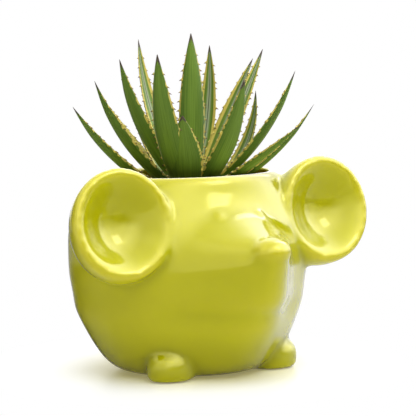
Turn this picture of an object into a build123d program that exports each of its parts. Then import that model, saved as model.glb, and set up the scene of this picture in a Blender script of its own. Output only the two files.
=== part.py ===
"""Animal planter: a glazed earthenware mouse with cup ears, potted with a young variegated agave.

Millimetres. The mouse faces -Y and stands on z = 0; its left side, with ear_left, is +X.
The origin is the middle of the drain hole where it leaves the base.
"""

from build123d import *
from math import cos, exp, hypot, pi, radians, sin
import os

os.makedirs("parts", exist_ok=True)

# Pot shell: a slip-cast bowl, wider than it is deep, with the mouse's snout drawn out of its front
pot_height = 98.0
belly_side = 64.5
belly_front = 42.0
belly_back = 50.0
wall = 5.0
floor_thickness = 8.0
rim_round = 2.3
rim_steps = 4
drain_hole_radius = 5.0
corner_rise = 4.0
corner_inset = 5.0

# Snout: how far it stands out of the belly, and its half width where it is 1/e of that far
snout_reach = 30.0
snout_half_width = 25.0

# Each row: height share; shares of the belly's side, front and back; of the snout's reach and width
profile_shares = (
    (0.000, 0.500, 0.620, 0.520, 0.10, 1.00),
    (0.012, 0.580, 0.720, 0.600, 0.14, 1.00),
    (0.036, 0.655, 0.820, 0.670, 0.18, 1.00),
    (0.085, 0.735, 0.910, 0.745, 0.25, 1.00),
    (0.165, 0.820, 0.970, 0.825, 0.38, 1.00),
    (0.265, 0.905, 1.000, 0.905, 0.58, 1.00),
    (0.375, 0.962, 1.015, 0.960, 0.78, 1.00),
    (0.480, 0.990, 1.020, 0.990, 0.92, 1.00),
    (0.570, 1.000, 1.030, 1.000, 1.00, 0.96),
    (0.640, 1.000, 1.045, 1.000, 1.00, 0.88),
    (0.690, 1.000, 1.045, 0.995, 0.87, 0.80),
    (0.730, 0.990, 1.035, 0.985, 0.60, 0.74),
    (0.770, 0.975, 1.010, 0.970, 0.32, 0.69),
    (0.810, 0.950, 0.970, 0.950, 0.13, 0.65),
    (0.850, 0.915, 0.935, 0.925, 0.04, 0.62),
    (0.900, 0.855, 0.895, 0.890, 0.00, 0.60),
    (0.950, 0.782, 0.858, 0.845, 0.00, 0.60),
    (1.000, 0.705, 0.820, 0.800, 0.00, 0.60),
)
section_points = 36
front_crowding_share = 0.5

# Ears: round cups with a rolled lip, facing forward and a little up, their backs drawn down to the cheeks
ear_lip_radius = 24.3
ear_lip_round = 2.6
ear_lip_land = 0.3
ear_depth = 25.0
ear_dish_round = 4.5
ear_dish_depth = 13.0
ear_dish_slope = 54.0
ear_side = 59.7
ear_forward = 34.5
ear_height = 78.5
ear_turn_out = 2.0
ear_tip_up = 11.0
ear_back_drop = 4.8
ear_back_inset = 4.5

# Each ring behind an ear's lip: share of the ear's depth, and of the lip's outer radius
ear_back_shares = ((0.30, 1.00), (0.52, 0.95), (0.72, 0.82), (0.88, 0.60), (1.00, 0.28))

# Nose button on the end of the snout
nose_side = 10.3
nose_depth = 9.0
nose_height = 7.0
nose_centre_height = 64.0
nose_bury_share = 0.60

# Eyes: two beads of clay on the brow
eye_radius = 2.2
eye_side = 11.8
eye_height = 79.0
eye_bury_share = 0.45

# Front feet: two upright ovals under the belly, rounded over on top
foot_side = 12.5
foot_depth = 10.0
foot_height = 14.4
foot_round = 7.0
foot_sole_round = 2.8
foot_from_middle = 30.4
foot_forward = 27.2

# What the pot holds
mesh_radius = 9.0
mesh_thickness = 0.8
mesh_hole_radius = 1.5
mesh_pitch = 4.2
mesh_holes_each_way = 3
gravel_depth = 14.0
soil_top = 84.0
seat_gap = 0.3
lift_gap = 0.35

# Root ball of the agave: a plug that lifts straight out of the potting mix
ball_top_radius = 21.0
ball_base_radius = 15.0
ball_height = 46.0

# Crown: the short stem that carries the leaves, and the bud of furled leaves at its heart
crown_base_radius = 11.0
crown_top_radius = 5.0
crown_height = 13.0
bud_radius = 4.2
bud_tip_radius = 0.5
bud_height = 26.0

# Leaves: blades with a channelled upper face
leaf_length = 86.0
leaf_width = 14.5
leaf_thickness = 2.6
leaf_channel = 1.6

# Each tier: share of the crown's height and of its foot's radius where its leaves start
tier_shares = ((0.31, 0.92), (0.50, 0.75), (0.75, 0.58))

# Along a leaf: share of its length, of its width and of its thickness
blade_shares = (
    (0.00, 0.72, 1.00),
    (0.15, 0.85, 1.00),
    (0.33, 0.97, 0.92),
    (0.48, 1.00, 0.82),
    (0.63, 0.85, 0.70),
    (0.80, 0.50, 0.55),
    (0.92, 0.22, 0.40),
    (1.00, 0.04, 0.25),
)

# Each leaf: tier, bearing, lift at the foot, lift at the tip, then length share and width share
leaf_shares = (
    (2, 244, 88, 92, 0.84, 0.88),
    (2, 103, 52, 82, 0.88, 0.66),
    (2, 30, 59, 92, 0.80, 0.66),
    (2, 354, 68, 59, 0.77, 0.95),
    (2, 182, 45, 74, 0.82, 0.90),
    (2, 305, 60, 66, 0.60, 0.60),
    (1, 215, 43, 82, 0.88, 0.93),
    (1, 83, 31, 62, 0.74, 0.70),
    (1, 17, 47, 57, 0.98, 0.72),
    (1, 270, 36, 72, 0.78, 0.92),
    (1, 179, 33, 65, 0.83, 0.84),
    (1, 305, 34, 67, 0.87, 0.76),
    (1, 113, 30, 57, 0.73, 0.78),
    (0, 174, 24, 54, 0.81, 0.76),
    (0, 230, 54, 64, 0.53, 1.16),
    (0, 10, 16, 88, 0.75, 0.62),
    (0, 316, 24, 55, 0.79, 0.74),
    (0, 298, 34, 34, 0.71, 0.84),
    (0, 56, 52, 77, 0.85, 0.80),
    (0, 105, 53, 64, 0.79, 0.80),
)


def row_at(height):
    """The profile table's shares at a height, straight between its rows."""
    level = min(max(height / pot_height, 0.0), 1.0)
    for low, high in zip(profile_shares, profile_shares[1:]):
        if level <= high[0]:
            part = (level - low[0]) / (high[0] - low[0])
            return [a + part * (b - a) for a, b in zip(low, high)]
    return list(profile_shares[-1])


def snout_drawn(row, across):
    """How far the snout stands out of the belly at a distance from the middle."""
    return row[4] * snout_reach * exp(-((across / (row[5] * snout_half_width)) ** 2))


def plan_point(turn, row):
    """One point of a level section: turn 0 is the front, a quarter turn is the left side."""
    side, front, back = row[1] * belly_side, row[2] * belly_front, row[3] * belly_back
    across = side * sin(turn)
    if cos(turn) < 0.0:
        return across, -back * cos(turn)
    return across, -front * cos(turn) - snout_drawn(row, across)


def plan_face(row, height, inset=0.0):
    """A level section of the pot, moved inwards along its own normals by an inset."""
    points = []
    nudge = pi / section_points / 10
    for number in range(section_points):
        even = 2.0 * pi * number / section_points
        turn = even - front_crowding_share * sin(even)
        x, y = plan_point(turn, row)
        ahead = plan_point(turn + nudge, row)
        behind = plan_point(turn - nudge, row)
        run_x, run_y = ahead[0] - behind[0], ahead[1] - behind[1]
        run = hypot(run_x, run_y)
        points.append(Vector(x - inset * run_y / run, y + inset * run_x / run, height))
    return Face(Wire([Edge.make_spline(points, periodic=True)]))


def front_face(side, height):
    """Y of the pot's outside on its front, at a distance to the side and a height."""
    row = row_at(height)
    across = min(abs(side) / (row[1] * belly_side), 1.0)
    return -row[2] * belly_front * (1.0 - across**2) ** 0.5 - snout_drawn(row, side)


def quarter_turn():
    """Angles from nought to a quarter turn, for the steps of a rounded edge."""
    return [radians(90.0) * step / rim_steps for step in range(rim_steps + 1)]


def rim_round_steps():
    """Height and drawing-in of each step of the quarter round on either side of the rim."""
    shoulder = pot_height - rim_round
    return [(shoulder + rim_round * sin(a), rim_round * (1.0 - cos(a))) for a in quarter_turn()]


def pot_outside():
    """The pot's outer form: the bowl, then the outer half of its rounded rim."""
    rim = [plan_face(row_at(height), height, drawn) for height, drawn in rim_round_steps()]
    levels = [row[0] * pot_height for row in profile_shares]
    levels = [level for level in levels if level < pot_height - 2.0 * rim_round]
    bowl = [plan_face(row_at(level), level) for level in levels]
    return loft(bowl + rim[:1]) + loft(rim)


def hollow_row(height):
    """The profile under the skin: the snout's roof is one wall thick, so it ends lower."""
    row, above = row_at(height), row_at(height + wall)
    return row[:4] + [min(row[4], above[4]), min(row[5], above[5])]


def pot_inside(gap=0.0):
    """The space inside the pot up to its shoulder, less a gap all round."""
    foot = floor_thickness + gap
    shoulder = pot_height - rim_round
    levels = [row[0] * pot_height for row in profile_shares]
    levels = [level for level in levels if floor_thickness + 2 * corner_rise < level < shoulder - rim_round]
    sections = [plan_face(hollow_row(foot), foot, wall + gap + corner_inset)]
    sections.append(plan_face(hollow_row(foot + corner_rise), foot + corner_rise, wall + gap))
    sections += [plan_face(hollow_row(level), level, wall + gap) for level in levels]
    return loft(sections + [plan_face(row_at(shoulder), shoulder, wall + gap)])


def rim_inside():
    """The mouth above the shoulder, opening out with the inner half of the rounded rim."""
    steps = rim_round_steps()
    return loft([plan_face(row_at(height), height, wall - drawn) for height, drawn in steps])


def ear_ring(hand, depth, radius):
    """A ring of an ear's outside; behind the lip the rings drop and draw in to the pot."""
    back = max(depth - ear_lip_round, 0.0) / (ear_depth - ear_lip_round)
    return Pos(-hand * ear_back_inset * back, -ear_back_drop * back, -depth) * Circle(radius)


def ear_cup(hand, grow=0.0):
    """An ear's outer form, with its mouth at z = 0 and its back below."""
    turns = quarter_turn()
    lip = [(ear_lip_round * (1.0 - cos(a)), ear_lip_radius + ear_lip_round * sin(a)) for a in turns]
    outer = ear_lip_radius + ear_lip_round
    back = [(depth * ear_depth, radius * outer) for depth, radius in ear_back_shares]
    front = loft([ear_ring(hand, depth, radius + grow) for depth, radius in lip])
    return front + loft([ear_ring(hand, depth, radius + grow) for depth, radius in lip[-1:] + back])


def ear_dish():
    """The hollow of an ear with the inner round of its lip, standing clear of the mouth to cut it."""
    crest = ear_lip_radius - ear_lip_land
    slope = radians(ear_dish_slope)
    inner, halfway = [
        (crest - ear_dish_round * sin(a), -ear_dish_round * (1.0 - cos(a))) for a in (slope, slope / 2)
    ]
    bowl = Spline([(0, -ear_dish_depth), inner], tangents=[(1, 0), (cos(slope), sin(slope))])
    lip = ThreePointArc(inner, halfway, (crest, 0))
    middle = Polyline([(crest, 0), (crest, ear_lip_round), (0, ear_lip_round), (0, -ear_dish_depth)])
    return revolve(Plane.XZ * make_face([bowl, lip, middle]), Axis.Z)


def ear_place(hand):
    """Where an ear's mouth lies, Z out of the dish and Y up its face; hand is +1 on the left side."""
    turn, tip = radians(ear_turn_out), radians(ear_tip_up)
    facing = Vector(hand * sin(turn) * cos(tip), -cos(turn) * cos(tip), sin(tip))
    level = Vector(cos(turn), hand * sin(turn), 0)
    return Plane(origin=(hand * ear_side, -ear_forward, ear_height), x_dir=level, z_dir=facing)


def nose_button():
    """The nose: a squashed ball let into the end of the snout."""
    y = front_face(0.0, nose_centre_height) + nose_depth * nose_bury_share
    return Pos(0, y, nose_centre_height) * scale(Sphere(1), by=(nose_side, nose_depth, nose_height))


def eye_bead(hand):
    """An eye: a small bead with most of it let into the brow."""
    y = front_face(eye_side, eye_height) + eye_radius * eye_bury_share
    return Pos(hand * eye_side, y, eye_height) * Sphere(eye_radius)


def foot_form(hand):
    """A front foot: an upright oval with its sole eased and its top rounded over."""
    foot = extrude(Ellipse(foot_side, foot_depth), foot_height)
    foot = fillet(foot.edges().group_by(Axis.Z)[-1], foot_round)
    foot = fillet(foot.edges().group_by(Axis.Z)[0], foot_sole_round)
    return Pos(hand * foot_from_middle, -foot_forward, 0) * foot


def drain_mesh_disc():
    """A round of plastic mesh over the drain hole, to hold the gravel back."""
    holes = GridLocations(mesh_pitch, mesh_pitch, mesh_holes_each_way, mesh_holes_each_way)
    disc = extrude(Circle(mesh_radius) - holes * Circle(mesh_hole_radius), mesh_thickness)
    return Pos(0, 0, floor_thickness) * disc


def slab(low, high):
    """A level layer far wider than the pot."""
    reach = 2.0 * (belly_side + belly_back + snout_reach)
    return Pos(0, 0, low) * Box(reach, reach, high - low, align=(Align.CENTER, Align.CENTER, Align.MIN))


def root_plug(grow=0.0):
    """The root ball, tapered like the nursery pot it grew in."""
    low = Plane.XY.offset(soil_top - ball_height - grow) * Circle(ball_base_radius + grow)
    return loft([low, Plane.XY.offset(soil_top) * Circle(ball_top_radius + grow)])


def blade_section(spot, bearing, lift, width, thickness):
    """A leaf's section: a crescent across the leaf, hollow on the side that faces the crown."""
    along = Vector(cos(bearing) * cos(lift), sin(bearing) * cos(lift), sin(lift))
    across = Vector(-sin(bearing), cos(bearing), 0)
    plane = Plane(origin=spot, x_dir=across, z_dir=along)
    channel = leaf_channel * width / leaf_width
    under = ThreePointArc((-width / 2, 0), (0, -thickness - channel), (width / 2, 0))
    face = ThreePointArc((width / 2, 0), (0, -channel), (-width / 2, 0))
    return plane * make_face([under, face])


def leaf_blade(row):
    """One leaf, lofted along a line that leaves the crown at one lift and ends at another."""
    tier, bearing, foot_lift, tip_lift, length_share, width_share = row
    height_share, radius_share = tier_shares[tier]
    turn = radians(bearing)
    reach = radius_share * crown_base_radius
    spot = Vector(reach * cos(turn), reach * sin(turn), soil_top + height_share * crown_height)
    sections = []
    for number in range(len(blade_shares)):
        level, width, thickness = blade_shares[number]
        lift = radians(foot_lift + (tip_lift - foot_lift) * level)
        if number:
            run = (level - blade_shares[number - 1][0]) * length_share * leaf_length
            middle = (lift + last_lift) / 2
            spot += run * Vector(cos(turn) * cos(middle), sin(turn) * cos(middle), sin(middle))
        last_lift = lift
        wide = width * width_share * leaf_width
        sections.append(blade_section(spot, turn, lift, wide, thickness * leaf_thickness))
    return loft(sections)


def largest(shape):
    """The largest solid of a cut shape."""
    return shape.solids().sort_by(SortBy.VOLUME)[-1]


def write(name, shape):
    """One STEP file for one node."""
    export_step(shape, f"parts/{name}.step")


# The pot and what is luted to it: each piece keeps its whole form and the pot is cut to seat it
bowl_outside = pot_outside()
pot_shell = bowl_outside - pot_inside() - rim_inside() - Cylinder(drain_hole_radius, 4 * floor_thickness)
for name, hand in (("left", 1), ("right", -1)):
    pot_shell -= ear_place(hand) * ear_cup(hand)
    write(f"ear_{name}", ear_place(hand) * (ear_cup(hand) - ear_dish()))
    write(f"eye_{name}", eye_bead(hand) - bowl_outside)
    write(f"foot_{name}", foot_form(hand) - bowl_outside)
write("pot_shell", largest(pot_shell))
write("nose", nose_button() - bowl_outside)

# The filling, from the drain hole up, clear of the ears where their backs show inside
mesh = drain_mesh_disc()
room = pot_inside(seat_gap)
for hand in (1, -1):
    room -= ear_place(hand) * ear_cup(hand, seat_gap)
gravel_top = floor_thickness + gravel_depth
clear_of_mesh = Cylinder(mesh_radius + seat_gap, 2 * (floor_thickness + mesh_thickness + seat_gap))
gravel = (room & slab(0, gravel_top)) - clear_of_mesh
soil = (room & slab(gravel_top, soil_top)) - root_plug(lift_gap)
write("drain_mesh", mesh)
write("drainage_gravel", largest(gravel))
write("potting_mix", largest(soil))

# The plant: root ball, crown and leaves, the inner leaves whole and the outer ones cut round them
crown_foot = Plane.XY.offset(soil_top) * Circle(crown_base_radius)
crown_tip = Plane.XY.offset(soil_top + crown_height) * Circle(crown_top_radius)
bud_foot = Plane.XY.offset(soil_top + crown_height) * Circle(bud_radius)
bud_tip = Plane.XY.offset(soil_top + crown_height + bud_height) * Circle(bud_tip_radius)
crown = loft([crown_foot, crown_tip]) + loft([bud_foot, bud_tip])
write("root_ball", root_plug())
write("agave_crown", crown)
placed = []
for number, row in enumerate(leaf_shares, start=1):
    leaf = leaf_blade(row) - crown
    for other in placed:
        if leaf.bounding_box().overlaps(other.bounding_box()):
            leaf = leaf - other
    leaf = largest(leaf)
    placed.append(leaf)
    write(f"leaf_{number:02d}", leaf)
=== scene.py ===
import math
import random

import bmesh
import bpy
import numpy as np
from mathutils import Matrix, Quaternion, Vector, noise
from mathutils.bvhtree import BVHTree


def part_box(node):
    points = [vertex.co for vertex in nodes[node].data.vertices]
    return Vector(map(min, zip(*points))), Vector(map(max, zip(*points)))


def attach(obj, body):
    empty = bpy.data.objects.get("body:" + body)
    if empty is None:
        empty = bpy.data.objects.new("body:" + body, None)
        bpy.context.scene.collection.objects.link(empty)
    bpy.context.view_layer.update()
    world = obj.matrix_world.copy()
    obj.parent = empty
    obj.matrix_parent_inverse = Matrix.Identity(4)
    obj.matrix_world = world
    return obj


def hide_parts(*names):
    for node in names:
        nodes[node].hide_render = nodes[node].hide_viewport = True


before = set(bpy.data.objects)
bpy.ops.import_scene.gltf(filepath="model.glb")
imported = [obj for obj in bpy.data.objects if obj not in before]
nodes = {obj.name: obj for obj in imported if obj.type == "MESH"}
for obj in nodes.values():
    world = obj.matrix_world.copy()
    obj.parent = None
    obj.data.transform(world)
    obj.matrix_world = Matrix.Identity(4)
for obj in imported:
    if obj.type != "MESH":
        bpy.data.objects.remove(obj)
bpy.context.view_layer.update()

scene = bpy.context.scene
MM = 0.001

# Camera: a long lens a metre away, a little above the rim, with the mouse turned to its right.
# The bearing, height and roll are those of the photograph, and the aim is off the middle of the
# pot because the plant and the nearer ear fill the left of the frame.
VIEW_BEARING = math.radians(-34.3)
VIEW_RISE = math.radians(5.7)
VIEW_ROLL = math.radians(0.5)
VIEW_DISTANCE = 1.0
VIEW_TARGET = Vector((10.35, 0.0, 78.8)) * MM
LENS_MM = 173.1
SENSOR_MM = 36.0
away = Vector((
    math.sin(VIEW_BEARING) * math.cos(VIEW_RISE),
    -math.cos(VIEW_BEARING) * math.cos(VIEW_RISE),
    math.sin(VIEW_RISE),
))
camera_data = bpy.data.cameras.new("camera")
camera_data.lens = LENS_MM
camera_data.sensor_width = SENSOR_MM
camera = bpy.data.objects.new("camera", camera_data)
scene.collection.objects.link(camera)
camera.location = VIEW_TARGET + away * VIEW_DISTANCE
camera.rotation_mode = "QUATERNION"
camera.rotation_quaternion = away.to_track_quat("Z", "Y") @ Quaternion((0.0, 0.0, 1.0), -VIEW_ROLL)
scene.camera = camera
scene.view_settings.view_transform = "Standard"


# Studio: white paper under and behind the pot, and a large softbox overhead that casts the light.
# What the glaze mirrors is set apart from that, as white cards are: windows in front that start
# above a sill, a pale wall on either hand, a bright ceiling, and a window and a strip that shine.
STUDIO_WHITE = "FFFFFF"
WORLD_LIGHT = 0.14
WINDOW_SIDE = (0.5, -0.866, 0.0)
CAMERA_SIDE = (-0.906, -0.423, 0.0)
RIGHT_SIDE = (0.94, 0.34, 0.0)

# Each spread: how far towards its side a glow starts and is full, then how dim and how bright
WINDOW_SPREAD = (0.2, 0.65, 0.0, 3.8)
CAMERA_SPREAD = (0.5, 0.9, 0.1, 1.8)
RIGHT_SPREAD = (0.15, 0.75, 0.1, 1.8)
# The next two spreads are for the floor's painted reflection: its painted dark table and its
# painted room glow
PAINTED_TABLE_SPREAD = (-1.0, -0.6, 0.05, 0.65)
PAINTED_ROOM_SPREAD = (0.5, 0.95, 0.3, 1.9)

# Heights on the walls, as the sine of the angle above level
SILL_START = 0.05
SILL_END = 0.34
CEILING_START = 0.40
CEILING_END = 0.75
CEILING_GLOW = 1.9


def linear(code):
    """An sRGB hex colour, as a linear colour with full alpha."""
    parts = [int(code[i:i + 2], 16) / 255.0 for i in (0, 2, 4)]
    light = tuple(c / 12.92 if c <= 0.04045 else ((c + 0.055) / 1.055) ** 2.4 for c in parts)
    return light + (1.0,)


def add_node(tree, kind, settings=None, inputs=None):
    """A shader node with its settings and its inputs; an input is a value or another socket."""
    node = tree.nodes.new(kind)
    for key, value in (settings or {}).items():
        setattr(node, key, value)
    for key, value in (inputs or {}).items():
        if isinstance(value, bpy.types.NodeSocket):
            tree.links.new(value, node.inputs[key])
        else:
            node.inputs[key].default_value = value
    return node


def new_material(name):
    """An empty material and its node tree."""
    material = bpy.data.materials.new(name)
    material.use_nodes = True
    material.node_tree.nodes.clear()
    return material, material.node_tree


def finish_material(tree, surface):
    """Join a shader to the material's output."""
    add_node(tree, "ShaderNodeOutputMaterial", {}, {"Surface": surface})


def glow_towards(tree, way, side, spread):
    """How bright the room looks in the glaze one way, by how far that is towards its side."""
    start, full, dim, bright = spread
    share = add_node(tree, "ShaderNodeVectorMath", {"operation": "DOT_PRODUCT"}, {0: way, 1: side})
    glow = add_node(tree, "ShaderNodeMapRange", {}, {
        "Value": share.outputs["Value"], "From Min": start, "From Max": full,
        "To Min": dim, "To Max": bright})
    return glow.outputs["Result"]


def shown_to(tree, ray, other, seen):
    """A shader that differs for one kind of ray."""
    rays = add_node(tree, "ShaderNodeLightPath")
    mix = add_node(tree, "ShaderNodeMixShader", {}, {0: rays.outputs[ray], 1: other, 2: seen})
    return mix.outputs[0]


world = bpy.data.worlds.new("white_studio")
world.use_nodes = True
scene.world = world
sky = world.node_tree
sky.nodes.clear()
sky_way = add_node(sky, "ShaderNodeTexCoord").outputs["Generated"]
sky_height = add_node(sky, "ShaderNodeSeparateXYZ", {}, {"Vector": sky_way}).outputs["Z"]
ceiling = add_node(sky, "ShaderNodeMapRange", {}, {
    "Value": sky_height, "From Min": CEILING_START, "From Max": CEILING_END,
    "To Max": CEILING_GLOW})
sill = add_node(sky, "ShaderNodeMapRange", {}, {
    "Value": sky_height, "From Min": SILL_START, "From Max": SILL_END})
window_glow = add_node(sky, "ShaderNodeMath", {"operation": "MULTIPLY_ADD"}, {
    0: glow_towards(sky, sky_way, WINDOW_SIDE, WINDOW_SPREAD),
    1: sill.outputs["Result"],
    2: ceiling.outputs["Result"]})
side_glow = add_node(sky, "ShaderNodeMath", {"operation": "ADD"}, {
    0: glow_towards(sky, sky_way, CAMERA_SIDE, CAMERA_SPREAD),
    1: glow_towards(sky, sky_way, RIGHT_SIDE, RIGHT_SPREAD)})
wall_glow = add_node(sky, "ShaderNodeMath", {"operation": "ADD"}, {
    0: side_glow.outputs[0], 1: window_glow.outputs[0]}).outputs[0]
white_sky, mirror_sky, cast_sky = [
    add_node(sky, "ShaderNodeBackground", {}, {
        "Color": linear(STUDIO_WHITE), "Strength": strength}).outputs[0]
    for strength in (1.0, wall_glow, WORLD_LIGHT)
]
other_sky = shown_to(sky, "Is Glossy Ray", cast_sky, mirror_sky)
sky_look = shown_to(sky, "Is Camera Ray", other_sky, white_sky)
add_node(sky, "ShaderNodeOutputWorld", {}, {"Surface": sky_look})

# Paper: matt white, with a painted glow that lights it a little more than the lamp alone would,
# tinted lime near the pot as painted bounce light from the glaze.
# Seen directly it fades to plain white. Seen in the glaze it is a painted reflection: painted
# darker on the side away from the windows, then further out a painted room that glows brighter
# towards the camera's side.
FLOOR_HALF = 1.6
FLOOR_WHITE = "E6E6E6"
FLOOR_GLOW = 0.32
PAINTED_BOUNCE_LIME = "E3D894"
PAINTED_BOUNCE_NEAR = 0.038
PAINTED_BOUNCE_FAR = 0.075
FADE_NEAR = 0.05
FADE_FAR = 0.11
# Where the floor's painted table reflection gives way to its painted room glow
PAINTED_TABLE_END = 0.40
PAINTED_TABLE_GONE = 0.50
floor_material, tree = new_material("matt_white_paper")
floor_place = add_node(tree, "ShaderNodeTexCoord").outputs["Object"]
from_pot = add_node(tree, "ShaderNodeVectorMath", {"operation": "LENGTH"}, {0: floor_place})
bearing = add_node(tree, "ShaderNodeVectorMath", {"operation": "NORMALIZE"}, {0: floor_place})
paper = add_node(tree, "ShaderNodeBsdfPrincipled", {}, {
    "Base Color": linear(FLOOR_WHITE), "Roughness": 0.4, "Specular IOR Level": 0.25})
# Painted bounce light: the paper's glow is painted lime close to the pot and turns white further
# out
past_painted_bounce = add_node(tree, "ShaderNodeMapRange", {"interpolation_type": "SMOOTHSTEP"}, {
    "Value": from_pot.outputs["Value"], "From Min": PAINTED_BOUNCE_NEAR, "From Max": PAINTED_BOUNCE_FAR})
painted_bounce_tint = add_node(tree, "ShaderNodeMix", {"data_type": "RGBA"}, {
    "Factor": past_painted_bounce.outputs["Result"], 6: linear(PAINTED_BOUNCE_LIME), 7: linear(STUDIO_WHITE)})
glow = add_node(tree, "ShaderNodeEmission", {}, {
    "Color": painted_bounce_tint.outputs[2], "Strength": FLOOR_GLOW})
lit = add_node(tree, "ShaderNodeAddShader", {}, {0: paper.outputs[0], 1: glow.outputs[0]})
# Emission looks: plain white seen directly, and for the glaze a painted dark table and a painted
# room glow
plain, painted_dark_table, painted_room_glow = [
    add_node(tree, "ShaderNodeEmission", {}, {"Color": linear(STUDIO_WHITE), "Strength": strength})
    for strength in (
        1.0, 0.0, glow_towards(tree, bearing.outputs["Vector"], CAMERA_SIDE, PAINTED_ROOM_SPREAD))
]
painted_table_reflection = add_node(tree, "ShaderNodeMixShader", {}, {
    0: glow_towards(tree, bearing.outputs["Vector"], WINDOW_SIDE, PAINTED_TABLE_SPREAD),
    1: painted_dark_table.outputs[0], 2: lit.outputs[0]})
far_looks = []
for close_by, far_off, near, far in (
    (lit, plain, FADE_NEAR, FADE_FAR),
    (painted_table_reflection, painted_room_glow, PAINTED_TABLE_END, PAINTED_TABLE_GONE),
):
    fading = add_node(tree, "ShaderNodeMapRange", {"interpolation_type": "SMOOTHSTEP"}, {
        "Value": from_pot.outputs["Value"], "From Min": near, "From Max": far})
    look = add_node(tree, "ShaderNodeMixShader", {}, {
        0: fading.outputs["Result"], 1: close_by.outputs[0], 2: far_off.outputs[0]})
    far_looks.append(look.outputs[0])
seen_look, painted_reflection_look = far_looks
other_look = shown_to(tree, "Is Glossy Ray", paper.outputs[0], painted_reflection_look)
finish_material(tree, shown_to(tree, "Is Camera Ray", other_look, seen_look))
shape = bmesh.new()
bmesh.ops.create_grid(shape, x_segments=1, y_segments=1, size=FLOOR_HALF)
floor_mesh = bpy.data.meshes.new("floor")
shape.to_mesh(floor_mesh)
shape.free()
floor = bpy.data.objects.new("floor", floor_mesh)
floor_mesh.materials.append(floor_material)
scene.collection.objects.link(floor)

# Lamps: rectangles that face the pot and dim towards their edges. Each row: place, width, height,
# watts, the share of its width that dims, and whether it casts light or only shines in the glaze.
POT_MIDDLE = Vector((0.0, 0.0, 0.07))
LAMPS = (
    ("overhead_softbox", (0.07, -0.25, 1.04), 1.8, 1.8, 24.7, 0.2, True),
    ("right_strip", (0.70, 0.18, 0.76), 0.26, 0.85, 2.6, 0.2, False),
    ("front_window", (0.36, -0.68, 0.70), 0.42, 0.46, 3.4, 0.25, False),
)
for name, place, width, height, watts, feather, casts in LAMPS:
    data = bpy.data.lights.new(name, "AREA")
    data.shape = "RECTANGLE"
    data.size = width
    data.size_y = height
    data.energy = watts
    data.use_nodes = True
    cloth = data.node_tree
    cloth.nodes.clear()
    spread = add_node(cloth, "ShaderNodeNewGeometry")
    spot = add_node(cloth, "ShaderNodeSeparateXYZ", {}, {"Vector": spread.outputs["Parametric"]})
    strength = 1.0
    for axis in ("X", "Y"):
        inwards = add_node(cloth, "ShaderNodeMath", {"operation": "PINGPONG"}, {
            0: spot.outputs[axis], 1: 0.5})
        edge = add_node(cloth, "ShaderNodeMapRange", {"interpolation_type": "SMOOTHSTEP"}, {
            "Value": inwards.outputs[0], "From Min": 0.0, "From Max": feather})
        strength = add_node(cloth, "ShaderNodeMath", {"operation": "MULTIPLY"}, {
            0: edge.outputs["Result"], 1: strength}).outputs[0]
    light = add_node(cloth, "ShaderNodeEmission", {}, {
        "Color": linear(STUDIO_WHITE), "Strength": strength})
    add_node(cloth, "ShaderNodeOutputLight", {}, {"Surface": light.outputs[0]})
    lamp = bpy.data.objects.new(name, data)
    scene.collection.objects.link(lamp)
    lamp.location = place
    lamp.rotation_mode = "QUATERNION"
    lamp.rotation_quaternion = (Vector(place) - POT_MIDDLE).to_track_quat("Z", "Y")
    lamp.visible_diffuse = casts
    lamp.visible_glossy = not casts


# Glazed pot: slip-cast earthenware with its ears, nose, bead eyes and feet luted on while leather
# hard, then dipped in one coat of lime glaze. The glaze runs over every joint, so the skin is one
# surface: the cast pieces are merged, remeshed and softened as the melted glaze softens them.
GLAZE_GRAIN = 1.12 * MM
GLAZE_MELT_STEPS = 12
GLAZE_FLOW_STEPS = 16

# The mouth of an ear, how far it is turned out and tipped up, and the dish inside its lip
EAR_SIDE = 59.7 * MM
EAR_FORWARD = 34.5 * MM
EAR_HEIGHT = 78.5 * MM
EAR_OUT = 0.035
EAR_UP = 0.194
DISH_RADIUS = 23.4 * MM
DISH_DEPTH = 14.5 * MM
DISH_MELT_STEPS = 110

# How the glaze colour deepens: the bend of a hollow that fills with pooled glaze, and how far up
# from the foot the colour is made deeper, and by how much
POOL_BEND = 0.09
DEEPER_FOOT_HEIGHT = 26.0 * MM
DEEPER_FOOT_SHARE = 0.5
POT_PARTS = (
    "pot_shell", "ear_left", "ear_right", "nose", "eye_left", "eye_right", "foot_left",
    "foot_right")


def new_piece(name, shape, material):
    """Turn a bmesh into a smooth-shaded object at the origin with one material."""
    mesh = bpy.data.meshes.new(name)
    shape.to_mesh(mesh)
    shape.free()
    mesh.shade_smooth()
    mesh.materials.append(material)
    piece = bpy.data.objects.new(name, mesh)
    scene.collection.objects.link(piece)
    return piece


def merged_copy(*names):
    """A bmesh of one or more CAD nodes, with their loose triangles joined."""
    shape = bmesh.new()
    for name in names:
        shape.from_mesh(nodes[name].data)
    bmesh.ops.remove_doubles(shape, verts=shape.verts, dist=0.01 * MM)
    return shape


def remesh(piece, grain):
    """Give a piece an even mesh of one grain size."""
    even = piece.modifiers.new("even_grain", "REMESH")
    even.mode = "VOXEL"
    even.voxel_size = grain
    graph = bpy.context.evaluated_depsgraph_get()
    made = bpy.data.meshes.new_from_object(piece.evaluated_get(graph))
    piece.modifiers.clear()
    piece.data = made
    made.shade_smooth()


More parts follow.
